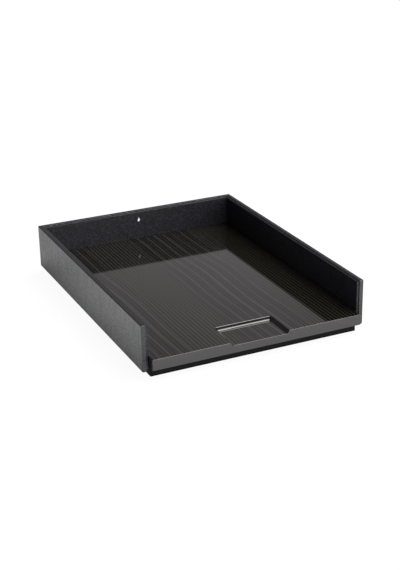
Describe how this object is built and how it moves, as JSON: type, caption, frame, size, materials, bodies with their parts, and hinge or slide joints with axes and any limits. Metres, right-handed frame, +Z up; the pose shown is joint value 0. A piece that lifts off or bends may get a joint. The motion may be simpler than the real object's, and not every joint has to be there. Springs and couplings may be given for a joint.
{
  "type": "letter tray",
  "caption": "Open-front letter tray with leather-covered walls round a glossy dark wood floor panel with a lip and a finger recess, on a plinth that nests in a like tray.",
  "frame": {"origin": "on the desk, under the middle of the tray's overall box", "axes": "+X to the right seen from the open front, +Y from the open front to the rear wall, +Z up"},
  "size_m": [0.255, 0.3302, 0.0584],
  "materials": {
    "floor_wood": "black-stained striped grain under gloss lacquer",
    "wall_leather": "fine grain, satin black",
    "wall_lining": "matt black, finely speckled",
    "wall_board": "black-dyed fibreboard",
    "plinth_wood": "matt black stain",
    "foot_rubber": "matt",
    "screw_steel": "zinc plated"
  },
  "bodies": {
    "root": {"floor_panel": "floor_wood", "left_wall_board": "wall_board", "right_wall_board": "wall_board", "rear_wall_board": "wall_board", "left_wall_cover": "wall_leather", "right_wall_cover": "wall_leather", "rear_wall_cover": "wall_leather", "left_wall_lining": "wall_lining", "right_wall_lining": "wall_lining", "rear_wall_lining": "wall_lining", "plinth_front_rail": "plinth_wood", "plinth_rear_rail": "plinth_wood", "plinth_left_rail": "plinth_wood", "plinth_right_rail": "plinth_wood", "foot_front_left": "foot_rubber", "foot_front_right": "foot_rubber", "foot_rear_left": "foot_rubber", "foot_rear_right": "foot_rubber", "wall_screws": "screw_steel", "plinth_screws": "screw_steel"}
  },
  "joints": []
}
